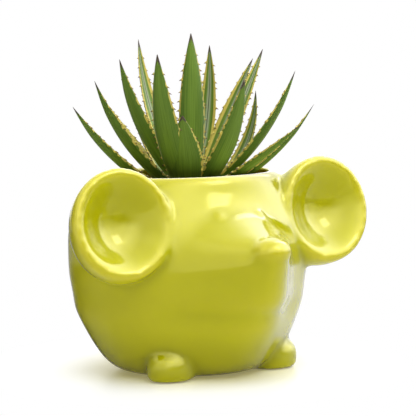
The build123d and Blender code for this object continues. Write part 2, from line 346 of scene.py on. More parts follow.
def bend_of_skin(mesh, steps):
    """How hollow the skin is at each point, in one over millimetres, evened out round about."""
    count = len(mesh.vertices)
    places = np.empty(count * 3)
    mesh.vertices.foreach_get("co", places)
    normals = np.empty(count * 3)
    mesh.vertex_normals.foreach_get("vector", normals)
    ends = np.empty(len(mesh.edges) * 2, dtype=np.int64)
    mesh.edges.foreach_get("vertices", ends)
    places, normals = places.reshape(-1, 3), normals.reshape(-1, 3)
    first, second = ends[0::2], ends[1::2]
    run = places[second] - places[first]
    reach = (run * run).sum(axis=1)
    rise = np.bincount(first, (run * normals[first]).sum(axis=1) / reach, count)
    rise += np.bincount(second, -(run * normals[second]).sum(axis=1) / reach, count)
    links = np.bincount(first, minlength=count) + np.bincount(second, minlength=count)
    bend = rise / links * MM
    for step in range(steps):
        around = np.bincount(first, bend[second], count)
        around += np.bincount(second, bend[first], count)
        bend = 0.5 * bend + 0.5 * around / links
    return bend


# Lime glaze: a thick clear glaze, wet to the eye, paler over the crests where it is thin and
# deeper in the hollows, with slow clouds in its colour and the faint waves of a dipped coat.
GLAZE_LIME = "CBC80A"
GLAZE_THIN = "E0D62E"
GLAZE_DEEP = "A5A302"
GLAZE_SHEEN = "FFF36A"
BARE_CLAY = "E9E2D0"
CLOUD_SIZE = 35.7 * MM
WAVE_SIZE = 16.7 * MM
WIPED_HEIGHT = 0.5 * MM
GLAZED_HEIGHT = 0.8 * MM
glaze, tree = new_material("lime_glossy_earthenware_glaze")
place = add_node(tree, "ShaderNodeTexCoord")
thickness = add_node(tree, "ShaderNodeAttribute", {"attribute_name": "glaze_depth"})
cloud = add_node(tree, "ShaderNodeTexNoise", {}, {
    "Vector": place.outputs["Object"], "Scale": 1 / CLOUD_SIZE, "Detail": 3.0, "Roughness": 0.55})
mottle = add_node(tree, "ShaderNodeMath", {"operation": "MULTIPLY_ADD"}, {
    0: cloud.outputs["Fac"], 1: 0.16, 2: -0.08})
pooled = add_node(tree, "ShaderNodeMath", {"operation": "ADD", "use_clamp": True}, {
    0: thickness.outputs["Fac"], 1: mottle.outputs[0]})
tone = add_node(tree, "ShaderNodeValToRGB", {}, {"Fac": pooled.outputs[0]})
tone.color_ramp.elements[0].color = linear(GLAZE_THIN)
tone.color_ramp.elements[0].position = 0.05
tone.color_ramp.elements[1].color = linear(GLAZE_DEEP)
tone.color_ramp.elements[1].position = 0.95
tone.color_ramp.elements.new(0.5).color = linear(GLAZE_LIME)
ripple = add_node(tree, "ShaderNodeTexNoise", {}, {
    "Vector": place.outputs["Object"], "Scale": 1 / WAVE_SIZE, "Detail": 2.0})
waves = add_node(tree, "ShaderNodeBump", {}, {
    "Height": ripple.outputs["Fac"], "Strength": 0.06, "Distance": 0.6 * MM})
gloss = add_node(tree, "ShaderNodeBsdfPrincipled", {}, {
    "Base Color": tone.outputs["Color"], "Roughness": 0.12, "IOR": 1.5,
    "Specular IOR Level": 0.6, "Specular Tint": linear(GLAZE_SHEEN),
    "Coat Weight": 0.45, "Coat Roughness": 0.05, "Coat IOR": 1.5,
    "Normal": waves.outputs["Normal"]})
clay = add_node(tree, "ShaderNodeBsdfPrincipled", {}, {
    "Base Color": linear(BARE_CLAY), "Roughness": 0.85})
spot = add_node(tree, "ShaderNodeSeparateXYZ", {}, {"Vector": place.outputs["Object"]})
wiped = add_node(tree, "ShaderNodeMapRange", {}, {
    "Value": spot.outputs["Z"], "From Min": WIPED_HEIGHT, "From Max": GLAZED_HEIGHT})
foot_mix = add_node(tree, "ShaderNodeMixShader", {}, {
    0: wiped.outputs["Result"], 1: clay.outputs[0], 2: gloss.outputs[0]})
finish_material(tree, foot_mix.outputs[0])

pot = new_piece("glazed_pot", merged_copy(*POT_PARTS), glaze)
remesh(pot, GLAZE_GRAIN)
shape = bmesh.new()
shape.from_mesh(pot.data)
for hand in (1.0, -1.0):
    mouth = Vector((hand * EAR_SIDE, -EAR_FORWARD, EAR_HEIGHT))
    facing = Vector((hand * EAR_OUT, -1.0, EAR_UP)).normalized()
    dish = []
    for vert in shape.verts:
        reach = vert.co - mouth
        sunk = -reach.dot(facing)
        if 0.0 < sunk < DISH_DEPTH and (reach + sunk * facing).length < DISH_RADIUS:
            dish.append(vert)
    for step in range(DISH_MELT_STEPS):
        bmesh.ops.smooth_vert(
            shape, verts=dish, factor=0.5, use_axis_x=True, use_axis_y=True, use_axis_z=True)
for step in range(GLAZE_MELT_STEPS):
    bmesh.ops.smooth_vert(
        shape, verts=shape.verts, factor=0.5, use_axis_x=True, use_axis_y=True, use_axis_z=True)
shape.to_mesh(pot.data)
shape.free()
heights = np.empty(len(pot.data.vertices) * 3)
pot.data.vertices.foreach_get("co", heights)
# The glaze colour is made deeper towards the foot, fading out at this height
deeper_near_foot = np.clip(1.0 - heights[2::3] / DEEPER_FOOT_HEIGHT, 0.0, 1.0)
hollow = bend_of_skin(pot.data, GLAZE_FLOW_STEPS) / POOL_BEND
depth = np.clip(0.5 + 0.5 * hollow + DEEPER_FOOT_SHARE * deeper_near_foot, 0.0, 1.0)
pot.data.attributes.new("glaze_depth", "FLOAT", "POINT").data.foreach_set("value", depth)
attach(pot, "planter")
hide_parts(*POT_PARTS)


# Drain mesh: a punched disc of black polypropylene over the drain hole, loose under the gravel.
# It keeps its machined shape and gets the fine grain of moulded plastic.
MESH_BLACK = "1E1F20"
MESH_GREY = "34363A"
MESH_GRAIN_SIZE = 1.11 * MM
drain_plastic, tree = new_material("black_polypropylene_mesh")
place = add_node(tree, "ShaderNodeTexCoord")
grain = add_node(tree, "ShaderNodeTexNoise", {}, {
    "Vector": place.outputs["Object"], "Scale": 1 / MESH_GRAIN_SIZE, "Detail": 2.0})
tone = add_node(tree, "ShaderNodeMix", {"data_type": "RGBA"}, {
    "Factor": grain.outputs["Fac"], 6: linear(MESH_BLACK), 7: linear(MESH_GREY)})
pits = add_node(tree, "ShaderNodeBump", {}, {
    "Height": grain.outputs["Fac"], "Strength": 0.3, "Distance": 0.1 * MM})
plastic = add_node(tree, "ShaderNodeBsdfPrincipled", {}, {
    "Base Color": tone.outputs[2], "Roughness": 0.5, "IOR": 1.49,
    "Normal": pits.outputs["Normal"]})
finish_material(tree, plastic.outputs[0])
nodes["drain_mesh"].data.materials.clear()
nodes["drain_mesh"].data.materials.append(drain_plastic)


# Drainage gravel: a layer of rounded grey and buff stones poured in over the mesh. Each stone is
# a ball knocked out of round, dropped where the poured layer has room for it.
STONE_RADIUS = 3.4 * MM
STONE_PITCH = 1.75 * STONE_RADIUS
TIER_PITCH = 1.55 * STONE_RADIUS
STONE_JITTER = 0.22
STONE_LUMPS = 0.16
STONE_ROOM = 0.72 * STONE_RADIUS
STONE_SPECK_SIZE = 2.38 * MM
STONE_GREY = "8B8781"
STONE_BUFF = "B9A88C"
STONE_DARK = "5D5A56"
stone_skin, tree = new_material("rounded_river_gravel")
place = add_node(tree, "ShaderNodeTexCoord")
kind = add_node(tree, "ShaderNodeAttribute", {"attribute_name": "stone_kind"})
speck = add_node(tree, "ShaderNodeTexNoise", {}, {
    "Vector": place.outputs["Object"], "Scale": 1 / STONE_SPECK_SIZE, "Detail": 4.0,
    "Roughness": 0.7})
kind_tone = add_node(tree, "ShaderNodeValToRGB", {}, {"Fac": kind.outputs["Fac"]})
kind_tone.color_ramp.elements[0].color = linear(STONE_DARK)
kind_tone.color_ramp.elements[1].color = linear(STONE_BUFF)
kind_tone.color_ramp.elements.new(0.5).color = linear(STONE_GREY)
specked = add_node(tree, "ShaderNodeMix", {"data_type": "RGBA", "blend_type": "OVERLAY"}, {
    "Factor": 0.5, 6: kind_tone.outputs["Color"], 7: speck.outputs["Color"]})
rough = add_node(tree, "ShaderNodeBump", {}, {
    "Height": speck.outputs["Fac"], "Strength": 0.5, "Distance": 0.2 * MM})
stone_shader = add_node(tree, "ShaderNodeBsdfPrincipled", {}, {
    "Base Color": specked.outputs[2], "Roughness": 0.75, "Normal": rough.outputs["Normal"]})
finish_material(tree, stone_shader.outputs[0])


def solid_tree(name):
    """A search tree of a CAD node's surface."""
    shape = merged_copy(name)
    tree_of_faces = BVHTree.FromBMesh(shape)
    shape.free()
    return tree_of_faces


def depth_inside(tree_of_faces, point):
    """How deep a point lies inside a closed surface, or nought where it lies outside."""
    for way in (Vector((0.0, 0.0, 1.0)), Vector((0.0, 0.0, -1.0))):
        hit, normal = tree_of_faces.ray_cast(point, way)[:2]
        if hit is None or normal.dot(way) < 0.0:
            return 0.0
    return tree_of_faces.find_nearest(point)[3]


random.seed(5)
layer = solid_tree("drainage_gravel")
low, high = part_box("drainage_gravel")
shape = bmesh.new()
kinds = shape.verts.layers.float.new("stone_kind")
rows = int((high.z - low.z) / TIER_PITCH)
for tier in range(rows + 1):
    height = low.z + STONE_RADIUS + tier * (high.z - low.z - 2 * STONE_RADIUS) / rows
    for across in range(int((high.x - low.x) / STONE_PITCH) + 1):
        for back in range(int((high.y - low.y) / STONE_PITCH) + 1):
            jitter = Vector([random.uniform(-STONE_JITTER, STONE_JITTER) for axis in range(3)])
            offset = 0.5 * ((tier + back) % 2)
            spot = Vector((
                low.x + (across + offset) * STONE_PITCH, low.y + back * STONE_PITCH, height))
            spot += jitter * STONE_RADIUS
            size = Vector([random.uniform(0.8, 1.12) for axis in range(3)])
            turn = Quaternion((random.random(), random.random(), random.random(), 1.0))
            colour = random.random()
            if depth_inside(layer, spot) < STONE_ROOM:
                continue
            stone = bmesh.ops.create_icosphere(shape, subdivisions=2, radius=STONE_RADIUS)["verts"]
            for vert in stone:
                lump = noise.noise(vert.co / STONE_RADIUS * 1.3 + spot / MM)
                vert.co *= 1.0 + STONE_LUMPS * lump
                vert[kinds] = colour
            tilt = turn.normalized().to_matrix().to_4x4() @ Matrix.Diagonal(size).to_4x4()
            bmesh.ops.transform(shape, matrix=Matrix.Translation(spot) @ tilt, verts=stone)
for vert in shape.verts:
    vert.co.z = min(max(vert.co.z, low.z), high.z)
gravel = new_piece("gravel_stones", shape, stone_skin)
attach(gravel, "planter")
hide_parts("drainage_gravel")


# Potting mix: dark peat and bark fines, firmed round the root ball, with loose bark crumbs and
# white perlite on top. The surface is torn into crumbs, never built outwards into the plug's way.
SOIL_GRAIN = 1.3 * MM
SOIL_CRUMB = 1.1 * MM
LUMP_SIZE = 2.6 * MM
FLECK_SIZE = 1.2 * MM
CLOD_SIZE = 1.92 * MM
SOIL_FIBRE_SIZE = 1.11 * MM
SOIL_DARK = "2A1C12"
SOIL_BROWN = "4D3724"
SOIL_LIGHT = "7A5F42"
PERLITE_WHITE = "E4DFD2"
soil_skin, tree = new_material("peat_and_bark_potting_mix")
place = add_node(tree, "ShaderNodeTexCoord")
clods = add_node(tree, "ShaderNodeTexVoronoi", {}, {
    "Vector": place.outputs["Object"], "Scale": 1 / CLOD_SIZE})
fibre = add_node(tree, "ShaderNodeTexNoise", {}, {
    "Vector": place.outputs["Object"], "Scale": 1 / SOIL_FIBRE_SIZE, "Detail": 4.0,
    "Roughness": 0.7})
soil_tone = add_node(tree, "ShaderNodeValToRGB", {}, {"Fac": fibre.outputs["Fac"]})
soil_tone.color_ramp.elements[0].color = linear(SOIL_DARK)
soil_tone.color_ramp.elements[0].position = 0.3
soil_tone.color_ramp.elements[1].color = linear(SOIL_LIGHT)
soil_tone.color_ramp.elements[1].position = 0.8
soil_tone.color_ramp.elements.new(0.55).color = linear(SOIL_BROWN)
soil_bump = add_node(tree, "ShaderNodeBump", {}, {
    "Height": clods.outputs["Distance"], "Strength": 0.8, "Distance": 0.8 * MM})
soil_shader = add_node(tree, "ShaderNodeBsdfPrincipled", {}, {
    "Base Color": soil_tone.outputs["Color"], "Roughness": 0.92, "Specular IOR Level": 0.2,
    "Normal": soil_bump.outputs["Normal"]})
finish_material(tree, soil_shader.outputs[0])


def crumble(piece, grain, height):
    """Even out a copy of a CAD solid and eat its surface inwards into crumbs."""
    remesh(piece, grain)
    shape = bmesh.new()
    shape.from_mesh(piece.data)
    shape.normal_update()
    for vert in shape.verts:
        lump = 0.5 + 0.5 * noise.noise(vert.co / LUMP_SIZE)
        fleck = 0.5 + 0.5 * noise.noise(vert.co / FLECK_SIZE)
        vert.co -= vert.normal * height * (0.65 * lump + 0.35 * fleck)
    shape.to_mesh(piece.data)
    shape.free()


soil = new_piece("potting_mix_fill", merged_copy("potting_mix"), soil_skin)
crumble(soil, SOIL_GRAIN, SOIL_CRUMB)
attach(soil, "planter")
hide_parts("potting_mix")

# Bark crumbs and perlite: dull splinters of bark and crisp white grains of puffed rock
BARK_FIBRE_SIZE = 1.67 * MM
FROTH_SIZE = 0.556 * MM
CHIP_LUMPS = 0.35
CHIP_FLATNESS = 0.7
CHIP_TILT = 0.4
CHIP_SINK = 0.45 * MM
DROP_HEIGHT = 20 * MM
bark_skin, tree = new_material("bark_crumb")
place = add_node(tree, "ShaderNodeTexCoord")
fibre = add_node(tree, "ShaderNodeTexNoise", {}, {
    "Vector": place.outputs["Object"], "Scale": 1 / BARK_FIBRE_SIZE, "Detail": 3.0})
bark_tone = add_node(tree, "ShaderNodeMix", {"data_type": "RGBA"}, {
    "Factor": fibre.outputs["Fac"], 6: linear(SOIL_DARK), 7: linear(SOIL_LIGHT)})
bark_shader = add_node(tree, "ShaderNodeBsdfPrincipled", {}, {
    "Base Color": bark_tone.outputs[2], "Roughness": 0.85, "Specular IOR Level": 0.25})
finish_material(tree, bark_shader.outputs[0])
perlite_skin, tree = new_material("expanded_perlite")
place = add_node(tree, "ShaderNodeTexCoord")
froth = add_node(tree, "ShaderNodeTexVoronoi", {}, {
    "Vector": place.outputs["Object"], "Scale": 1 / FROTH_SIZE})
froth_bump = add_node(tree, "ShaderNodeBump", {}, {
    "Height": froth.outputs["Distance"], "Strength": 0.6, "Distance": 0.3 * MM})
perlite_shader = add_node(tree, "ShaderNodeBsdfPrincipled", {}, {
    "Base Color": linear(PERLITE_WHITE), "Roughness": 0.8, "Normal": froth_bump.outputs["Normal"]})
finish_material(tree, perlite_shader.outputs[0])


def strew(name, ground, spots, radius, long_share, material):
    """Small stones or chips lying half sunk on a CAD node's top, one at each spot that meets it."""
    shape = bmesh.new()
    for x, y, size, turn in spots:
        above = Vector((x, y, TOP_OF_SOIL + DROP_HEIGHT))
        hit = ground.ray_cast(above, Vector((0, 0, -1)))[0]
        if hit is None or hit.z < TOP_OF_SOIL - 1 * MM:
            continue
        chip = bmesh.ops.create_icosphere(shape, subdivisions=1, radius=radius * size)["verts"]
        stretch = Matrix.Diagonal(Vector((long_share, 1.0, CHIP_FLATNESS))).to_4x4()
        tilt = Matrix.Rotation(math.sin(turn * 5) * CHIP_TILT, 4, "Y")
        spin = Matrix.Rotation(turn, 4, "Z") @ tilt
        for vert in chip:
            lump = noise.noise(vert.co / radius + Vector((x, y, turn)) / MM)
            vert.co *= 1.0 + CHIP_LUMPS * lump
        lift = Matrix.Translation(hit - Vector((0, 0, CHIP_SINK)))
        bmesh.ops.transform(shape, matrix=lift @ spin @ stretch, verts=chip)
    return new_piece(name, shape, material)


low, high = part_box("potting_mix")
TOP_OF_SOIL = high.z
random.seed(23)


def strewn_spots(count, smallest, largest):
    """Random places over the pot's mouth, each with a size and a turn."""
    return [(
        random.uniform(low.x, high.x),
        random.uniform(low.y, high.y),
        random.uniform(smallest, largest),
        random.uniform(0, math.tau),
    ) for chip in range(count)]


soil_top = solid_tree("potting_mix")
for name, count, radius, long_share, material in (
    ("loose_bark_crumbs", 900, 0.9 * MM, 1.7, bark_skin),
    ("loose_perlite", 110, 0.8 * MM, 1.15, perlite_skin),
):
    chips = strew(name, soil_top, strewn_spots(count, 0.6, 1.6), radius, long_share, material)
    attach(chips, "planter")


# Root ball: the plug of mix that the agave grew in, held together by its roots, which run down
# and round its side. It lifts straight out of the potting mix with the plant.
ROOT_COUNT = 54
ROOT_TURNS = 9
ROOT_THICKNESS = 0.34 * MM
ROOT_STREAK_SIZE = 2.63 * MM
BALL_CRUMB = 0.8 * MM
ROOT_TAN = "C9B38C"
ROOT_BROWN = "8A6A46"
ball_low, ball_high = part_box("root_ball")
ball_top_radius = (ball_high.x - ball_low.x) / 2
ball_height = ball_high.z - ball_low.z
BALL_TAPER = 6.0 / 46.0
ball = new_piece("root_ball_plug", merged_copy("root_ball"), soil_skin)
crumble(ball, SOIL_GRAIN, BALL_CRUMB)
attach(ball, "plant")
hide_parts("root_ball")

# Roots: dry, dull and tan, streaked darker along their skin
root_skin, tree = new_material("dry_tan_root")
place = add_node(tree, "ShaderNodeTexCoord")
streak = add_node(tree, "ShaderNodeTexNoise", {}, {
    "Vector": place.outputs["Object"], "Scale": 1 / ROOT_STREAK_SIZE, "Detail": 3.0})
root_tone = add_node(tree, "ShaderNodeMix", {"data_type": "RGBA"}, {
    "Factor": streak.outputs["Fac"], 6: linear(ROOT_BROWN), 7: linear(ROOT_TAN)})
root_shader = add_node(tree, "ShaderNodeBsdfPrincipled", {}, {
    "Base Color": root_tone.outputs[2], "Roughness": 0.7})
finish_material(tree, root_shader.outputs[0])
random.seed(31)
strands = bpy.data.curves.new("root_strands", "CURVE")
strands.dimensions = "3D"
strands.bevel_depth = ROOT_THICKNESS
strands.bevel_resolution = 1
strands.resolution_u = 4
strands.use_fill_caps = True
for root in range(ROOT_COUNT):
    angle = random.uniform(0, math.tau)
    fall = random.uniform(0.25, 0.9)
    drift = random.uniform(-0.35, 0.35)
    spline = strands.splines.new("NURBS")
    spline.points.add(ROOT_TURNS - 1)
    for step in range(ROOT_TURNS):
        share = step / (ROOT_TURNS - 1)
        drop = 1.5 * MM + share * fall * (ball_height - 3 * MM)
        angle += drift / ROOT_TURNS * 4 + random.uniform(-0.12, 0.12)
        radius = ball_top_radius - BALL_TAPER * drop - ROOT_THICKNESS * random.uniform(0.9, 1.5)
        spline.points[step].co = (
            radius * math.cos(angle), radius * math.sin(angle), ball_high.z - drop, 1.0)
        spline.points[step].radius = 1.0 - 0.6 * share
    spline.order_u = 3
    spline.use_endpoint_u = True
strand_object = bpy.data.objects.new("root_strands_curve", strands)
graph = bpy.context.evaluated_depsgraph_get()
roots_mesh = bpy.data.meshes.new_from_object(strand_object.evaluated_get(graph))
bpy.data.objects.remove(strand_object)
shape = bmesh.new()
shape.from_mesh(roots_mesh)
bmesh.ops.recalc_face_normals(shape, faces=shape.faces)
roots = new_piece("root_strands", shape, root_skin)
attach(roots, "plant")

ball_top = solid_tree("root_ball")
low, high = ball_low, ball_high
for name, count, radius, long_share, material in (
    ("root_ball_crumbs", 300, 0.85 * MM, 1.7, bark_skin),
    ("root_ball_perlite", 36, 0.75 * MM, 1.15, perlite_skin),
):
    chips = strew(name, ball_top, [
        spot for spot in strewn_spots(count, 0.6, 1.5)
        if math.hypot(spot[0], spot[1]) < ball_top_radius - 2.2 * MM
    ], radius, long_share, material)
    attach(chips, "plant")


# Agave leaves: stiff fleshy blades in a tight rosette, green with cream-yellow margins. The face
# towards the crown is channelled and has a pale stripe down its middle and the wider margins;
# the back is green with a narrow margin, and the end dries to a brown spine. On both faces the
# green has a painted sheen: lighter down the middle of the blade and painted darker towards its
# edges.
LEAF_LENGTH = 86.0 * MM
LEAF_WIDTH = 14.5 * MM
LEAF_THICKNESS = 2.6 * MM
LEAF_CHANNEL = 1.6 * MM
TIER_SHARES = ((0.31, 0.92), (0.50, 0.75), (0.75, 0.58))

# Each leaf: tier, bearing, lift at its foot and its tip, then shares of the length and width
LEAF_ROWS = (
    (2, 244, 88, 92, 0.84, 0.88),
    (2, 103, 52, 82, 0.88, 0.66),
    (2, 30, 59, 92, 0.80, 0.66),
    (2, 354, 68, 59, 0.77, 0.95),
    (2, 182, 45, 74, 0.82, 0.90),
    (2, 305, 60, 66, 0.60, 0.60),
    (1, 215, 43, 82, 0.88, 0.93),
    (1, 83, 31, 62, 0.74, 0.70),
    (1, 17, 47, 57, 0.98, 0.72),
    (1, 270, 36, 72, 0.78, 0.92),
    (1, 179, 33, 65, 0.83, 0.84),
    (1, 305, 34, 67, 0.87, 0.76),
    (1, 113, 30, 57, 0.73, 0.78),
    (0, 174, 24, 54, 0.81, 0.76),
    (0, 230, 54, 64, 0.53, 1.16),
    (0, 10, 16, 88, 0.75, 0.62),
    (0, 316, 24, 55, 0.79, 0.74),
    (0, 298, 34, 34, 0.71, 0.84),
    (0, 56, 52, 77, 0.85, 0.80),
    (0, 105, 53, 64, 0.79, 0.80),
)
STEPS_ACROSS = 14
STEPS_ALONG = 48
WIDEST_SHARE = 0.45
FOOT_WIDTH_SHARE = 0.72
TIP_WIDTH_SHARE = 0.03
TIP_TAPER = 1.65
THIN_TIP_SHARE = 0.72
TWIST_DEGREES = 7.0
crown_low, crown_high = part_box("agave_crown")
crown_radius = (crown_high.x - crown_low.x) / 2
CROWN_HEIGHT = 13.0 * MM

# Leaf skin: a waxy bloom that leaves only a soft sheen, finely lined lengthways, about 0.3 mm apart
LEAF_GREEN = "7A9A34"
LEAF_DARK_LINES_AND_SHADE = "46651A"
LEAF_PALE = "BCC6A8"
LEAF_GROOVE = "4A5A3A"
LEAF_MARGIN = "E2D067"
LEAF_FOOT = "C9CF9A"
SPINE_BROWN = "4E4138"
LEAF_TRAITS = ("across", "along", "inner", "leaf_number")
STREAK_SPREAD = (5.0, 2.2, 1.0)
LINE_SPREAD = (26.0, 3.0, 1.0)
LEAF_PATTERN_STEP = 3.7
leaf_skin, tree = new_material("waxy_variegated_leaf")
across, along, inner, number_of_leaf = [
    add_node(tree, "ShaderNodeAttribute", {"attribute_name": trait}) for trait in LEAF_TRAITS]
streak_place = add_node(tree, "ShaderNodeCombineXYZ", {}, {
    "X": across.outputs["Fac"], "Y": along.outputs["Fac"], "Z": number_of_leaf.outputs["Fac"]})
stretched = add_node(tree, "ShaderNodeMapping", {}, {
    "Vector": streak_place.outputs[0], "Scale": STREAK_SPREAD})
streaks = add_node(tree, "ShaderNodeTexNoise", {}, {
    "Vector": stretched.outputs[0], "Scale": 1.0, "Detail": 3.0, "Roughness": 0.6})
fine_place = add_node(tree, "ShaderNodeMapping", {}, {
    "Vector": streak_place.outputs[0], "Scale": LINE_SPREAD})
fine = add_node(tree, "ShaderNodeTexNoise", {}, {
    "Vector": fine_place.outputs[0], "Scale": 1.0, "Detail": 2.0})
from_middle = add_node(tree, "ShaderNodeMath", {"operation": "ABSOLUTE"}, {
    0: across.outputs["Fac"]})
ragged = add_node(tree, "ShaderNodeMath", {"operation": "MULTIPLY_ADD"}, {
    0: streaks.outputs["Fac"], 1: 0.12, 2: from_middle.outputs[0]})
margin_start = add_node(tree, "ShaderNodeMapRange", {}, {
    "Value": inner.outputs["Fac"], "To Min": 1.01, "To Max": 0.68})
margin_end = add_node(tree, "ShaderNodeMath", {"operation": "ADD"}, {
    0: margin_start.outputs[0], 1: 0.05})
margin = add_node(tree, "ShaderNodeMapRange", {}, {
    "Value": ragged.outputs[0], "From Min": margin_start.outputs[0],
    "From Max": margin_end.outputs[0]})
# Painted sheen: the fine lines' green is lighter down the middle of the blade, with painted shade
# towards its edges
painted_sheen_share = add_node(tree, "ShaderNodeMath", {"operation": "MULTIPLY_ADD", "use_clamp": True}, {
    0: from_middle.outputs[0], 1: -0.55, 2: 1.1})
lines_with_painted_sheen = add_node(tree, "ShaderNodeMath", {"operation": "MULTIPLY"}, {
    0: fine.outputs["Fac"], 1: painted_sheen_share.outputs[0]})
spread_lines_with_sheen = add_node(tree, "ShaderNodeMapRange", {}, {
    "Value": lines_with_painted_sheen.outputs[0], "From Min": 0.15, "From Max": 0.62})
greens_with_painted_sheen = add_node(tree, "ShaderNodeMix", {"data_type": "RGBA"}, {
    "Factor": spread_lines_with_sheen.outputs[0], 6: linear(LEAF_DARK_LINES_AND_SHADE), 7: linear(LEAF_GREEN)})
stripe = add_node(tree, "ShaderNodeMapRange", {}, {
    "Value": ragged.outputs[0], "From Min": 0.42, "From Max": 0.16, "To Min": 0.0, "To Max": 0.85})
stripe_inside = add_node(tree, "ShaderNodeMath", {"operation": "MULTIPLY"}, {
    0: stripe.outputs[0], 1: inner.outputs["Fac"]})
striped = add_node(tree, "ShaderNodeMix", {"data_type": "RGBA"}, {
    "Factor": stripe_inside.outputs[0], 6: greens_with_painted_sheen.outputs[2], 7: linear(LEAF_PALE)})
groove = add_node(tree, "ShaderNodeMapRange", {}, {
    "Value": from_middle.outputs[0], "From Min": 0.10, "From Max": 0.03,
    "To Min": 0.0, "To Max": 0.9})
groove_inside = add_node(tree, "ShaderNodeMath", {"operation": "MULTIPLY"}, {
    0: groove.outputs[0], 1: inner.outputs["Fac"]})
grooved = add_node(tree, "ShaderNodeMix", {"data_type": "RGBA"}, {
    "Factor": groove_inside.outputs[0], 6: striped.outputs[2], 7: linear(LEAF_GROOVE)})
edged = add_node(tree, "ShaderNodeMix", {"data_type": "RGBA"}, {
    "Factor": margin.outputs[0], 6: grooved.outputs[2], 7: linear(LEAF_MARGIN)})
foot_share = add_node(tree, "ShaderNodeMapRange", {}, {
    "Value": along.outputs["Fac"], "From Min": 0.16, "From Max": 0.0, "To Min": 0.0, "To Max": 0.8})
paled = add_node(tree, "ShaderNodeMix", {"data_type": "RGBA"}, {
    "Factor": foot_share.outputs[0], 6: edged.outputs[2], 7: linear(LEAF_FOOT)})
drying = add_node(tree, "ShaderNodeMath", {"operation": "MULTIPLY_ADD"}, {
    0: from_middle.outputs[0], 1: 0.035, 2: along.outputs["Fac"]})
tip_share = add_node(tree, "ShaderNodeMapRange", {}, {
    "Value": drying.outputs[0], "From Min": 0.95, "From Max": 0.975})
tipped = add_node(tree, "ShaderNodeMix", {"data_type": "RGBA"}, {
    "Factor": tip_share.outputs[0], 6: paled.outputs[2], 7: linear(SPINE_BROWN)})
lines = add_node(tree, "ShaderNodeBump", {}, {
    "Height": fine.outputs["Fac"], "Strength": 0.4, "Distance": 0.25 * MM})
wax = add_node(tree, "ShaderNodeBsdfPrincipled", {}, {
    "Base Color": tipped.outputs[2], "Roughness": 0.5, "IOR": 1.45, "Specular IOR Level": 0.3,
    "Normal": lines.outputs["Normal"]})
finish_material(tree, wax.outputs[0])


def blade_width(level):
    """Share of a leaf's width at a share of its length: widest low down, then drawn to a point."""
    if level < WIDEST_SHARE:
        swell = math.sin(math.pi / 2 * level / WIDEST_SHARE)
        return FOOT_WIDTH_SHARE + (1.0 - FOOT_WIDTH_SHARE) * swell
    run = (level - WIDEST_SHARE) / (1.0 - WIDEST_SHARE)
    return 1.0 - (1.0 - TIP_WIDTH_SHARE) * run ** TIP_TAPER


def leaf_line(row, twist):
    """A leaf's line, as a list of (point, towards the tip, across, away from the crown)."""
    tier, bearing, foot_lift, tip_lift, length_share = row[:5]
    turn = math.radians(bearing)
    height_share, radius_share = TIER_SHARES[tier]
    spot = Vector((math.cos(turn), math.sin(turn), 0.0)) * radius_share * crown_radius
    spot.z = crown_low.z + height_share * CROWN_HEIGHT
    sideways = Vector((-math.sin(turn), math.cos(turn), 0.0))
    line = []
    for step in range(STEPS_ALONG + 1):
        level = step / STEPS_ALONG
        lift = math.radians(foot_lift + (tip_lift - foot_lift) * level)
        level_reach = math.cos(lift)
        ahead = Vector((
            math.cos(turn) * level_reach, math.sin(turn) * level_reach, math.sin(lift)))
        if step:
            spot = spot + ahead * length_share * LEAF_LENGTH / STEPS_ALONG
        roll = Quaternion(ahead, math.radians(twist) * level)
        line.append((spot.copy(), ahead, roll @ sideways, roll @ sideways.cross(ahead)))
    return line


def leaf_point(line, width, level, side, depth):
    """A point of a leaf: side is -1 to 1 across it, depth is 0 on its face and 1 on its back."""
    spot, ahead, sideways, outwards = line[round(level * STEPS_ALONG)]
    half = width * blade_width(level) / 2
    fall = LEAF_CHANNEL * (half * 2 / LEAF_WIDTH) * (1.0 - side * side)
    slim = min(1.0, blade_width(level) * 1.6)
    body = LEAF_THICKNESS * (1.0 - THIN_TIP_SHARE * level) * (1.0 - side ** 4) * slim
    return spot + sideways * side * half + outwards * (fall + body * depth)


leaves = []
random.seed(11)
for number, row in enumerate(LEAF_ROWS, start=1):
    line = leaf_line(row, random.uniform(-TWIST_DEGREES, TWIST_DEGREES))
    width = row[5] * LEAF_WIDTH
    leaves.append((line, width, row[4] * LEAF_LENGTH))
    shape = bmesh.new()
    layers = [shape.verts.layers.float.new(key) for key in LEAF_TRAITS]
    for depth in (0.0, 1.0):
        blade = bmesh.ops.create_grid(
            shape, x_segments=STEPS_ACROSS, y_segments=STEPS_ALONG, size=0.5)
        for vert in blade["verts"]:
            side, level = 2 * vert.co.x, vert.co.y + 0.5
            for key, value in zip(layers, (side, level, 1.0 - depth, number * LEAF_PATTERN_STEP)):
                vert[key] = value
            vert.co = leaf_point(line, width, level, side, depth)
    bmesh.ops.remove_doubles(shape, verts=shape.verts, dist=0.005 * MM)
    bmesh.ops.holes_fill(shape, edges=[edge for edge in shape.edges if edge.is_boundary])
    bmesh.ops.recalc_face_normals(shape, faces=shape.faces)
    leaf = new_piece("blade_%02d" % number, shape, leaf_skin)
    leaf.visible_glossy = False
    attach(leaf, "plant")
    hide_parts("leaf_%02d" % number)


